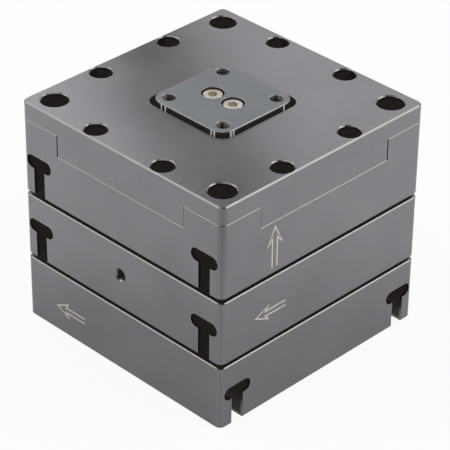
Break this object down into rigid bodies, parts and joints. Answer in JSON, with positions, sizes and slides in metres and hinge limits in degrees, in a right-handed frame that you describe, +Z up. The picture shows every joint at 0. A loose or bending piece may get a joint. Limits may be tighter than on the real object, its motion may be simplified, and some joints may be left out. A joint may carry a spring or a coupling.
{
  "type": "piezo stage",
  "caption": "Stacked flexure-guided piezo stage that moves a small platform along X, Y and Z, with T-slots for table screws.",
  "frame": {"origin": "centre of the bottom face of the bottom module", "axes": "+Z up, the bottom module moves along X, the middle one along Y, the front is -Y"},
  "size_m": [0.06, 0.06, 0.0553],
  "materials": {
    "anodised_aluminium": "fine bead-blasted dark grey anodising",
    "machined_aluminium": "wire-cut bare aluminium",
    "spring_steel": "rolled spring steel",
    "bright_steel": "plain bright steel",
    "black_steel": "black oxide steel",
    "piezo_ceramic": "lacquered multilayer ceramic",
    "gauge_foil": "polyimide film with a metal foil grid",
    "black_rubber": "smooth moulded rubber"
  },
  "bodies": {
    "base": {"x_body": "anodised_aluminium", "x_cover": "anodised_aluminium", "x_cover_screws": "black_steel", "x_leaf_springs": "spring_steel", "x_piezo_stack": "piezo_ceramic", "x_piezo_seat": "bright_steel", "x_preload_screw": "black_steel", "x_strain_gauge": "gauge_foil", "x_cable_grommet": "black_rubber"},
    "x_stage": {"x_carriage": "anodised_aluminium", "y_stacking_screws": "black_steel", "y_body": "anodised_aluminium", "y_cover": "anodised_aluminium", "y_cover_screws": "black_steel", "y_leaf_springs": "spring_steel", "y_piezo_stack": "piezo_ceramic", "y_piezo_seat": "bright_steel", "y_preload_screw": "black_steel", "y_strain_gauge": "gauge_foil", "y_cable_grommet": "black_rubber"},
    "y_stage": {"y_carriage": "anodised_aluminium", "z_stacking_screws": "black_steel", "z_body": "anodised_aluminium", "z_cover": "anodised_aluminium", "z_cover_screws": "black_steel", "z_lower_leaf_springs": "spring_steel", "z_upper_leaf_springs": "spring_steel", "z_piezo_stack": "piezo_ceramic", "z_piezo_seat": "bright_steel", "z_preload_screw": "black_steel", "z_strain_gauge": "gauge_foil", "z_cable_grommet": "black_rubber"},
    "z_stage": {"z_carriage": "anodised_aluminium", "z_platform": "anodised_aluminium", "z_platform_screws": "bright_steel"},
    "x_lever_right": {"x_lever_right": "machined_aluminium"},
    "x_lever_left": {"x_lever_left": "machined_aluminium"},
    "x_piezo_tip": {"x_piezo_tip": "bright_steel"},
    "y_lever_right": {"y_lever_right": "machined_aluminium"},
    "y_lever_left": {"y_lever_left": "machined_aluminium"},
    "y_piezo_tip": {"y_piezo_tip": "bright_steel"},
    "z_lever": {"z_lever": "machined_aluminium"},
    "z_piezo_tip": {"z_piezo_tip": "bright_steel"}
  },
  "joints": [
    {"name": "x_travel", "type": "slide", "parent": "base", "child": "x_stage", "axis": [-1, 0, 0], "range_m": [0, 0.0001], "stiffness_N_per_m": 20000},
    {"name": "y_travel", "type": "slide", "parent": "x_stage", "child": "y_stage", "axis": [0, -1, 0], "range_m": [0, 0.0001], "stiffness_N_per_m": 20000},
    {"name": "z_travel", "type": "slide", "parent": "y_stage", "child": "z_stage", "axis": [0, 0, 1], "range_m": [0, 0.0001], "stiffness_N_per_m": 20000},
    {"name": "x_lever_right_turn", "type": "hinge", "parent": "base", "child": "x_lever_right", "pos_m": [0.01743, -0.0026, 0.0081], "axis": [0, 0, -1], "range_deg": [0, 0.72]},
    {"name": "x_lever_left_turn", "type": "hinge", "parent": "base", "child": "x_lever_left", "pos_m": [0.01743, 0.0026, 0.0081], "axis": [0, 0, 1], "range_deg": [0, 0.72]},
    {"name": "x_piezo_stroke", "type": "slide", "parent": "base", "child": "x_piezo_tip", "axis": [1, 0, 0], "range_m": [0, 0.000021]},
    {"name": "y_lever_right_turn", "type": "hinge", "parent": "x_stage", "child": "y_lever_right", "pos_m": [0.0026, 0.01743, 0.0243], "axis": [0, 0, -1], "range_deg": [0, 0.72]},
    {"name": "y_lever_left_turn", "type": "hinge", "parent": "x_stage", "child": "y_lever_left", "pos_m": [-0.0026, 0.01743, 0.0243], "axis": [0, 0, 1], "range_deg": [0, 0.72]},
    {"name": "y_piezo_stroke", "type": "slide", "parent": "x_stage", "child": "y_piezo_tip", "axis": [0, 1, 0], "range_m": [0, 0.000021]},
    {"name": "z_lever_turn", "type": "hinge", "parent": "y_stage", "child": "z_lever", "pos_m": [0, -0.01743, 0.03841], "axis": [1, 0, 0], "range_deg": [0, 0.33]},
    {"name": "z_piezo_stroke", "type": "slide", "parent": "y_stage", "child": "z_piezo_tip", "axis": [0, -1, 0], "range_m": [0, 0.000021]}
  ],
  "couplings": [
    {"joint": "x_lever_right_turn", "follows": "x_travel", "rad_per_m": 125},
    {"joint": "x_lever_left_turn", "follows": "x_travel", "rad_per_m": 125},
    {"joint": "x_piezo_stroke", "follows": "x_travel", "ratio": 0.2},
    {"joint": "y_lever_right_turn", "follows": "y_travel", "rad_per_m": 125},
    {"joint": "y_lever_left_turn", "follows": "y_travel", "rad_per_m": 125},
    {"joint": "y_piezo_stroke", "follows": "y_travel", "ratio": 0.2},
    {"joint": "z_lever_turn", "follows": "z_travel", "rad_per_m": 57.372},
    {"joint": "z_piezo_stroke", "follows": "z_travel", "ratio": 0.2}
  ]
}
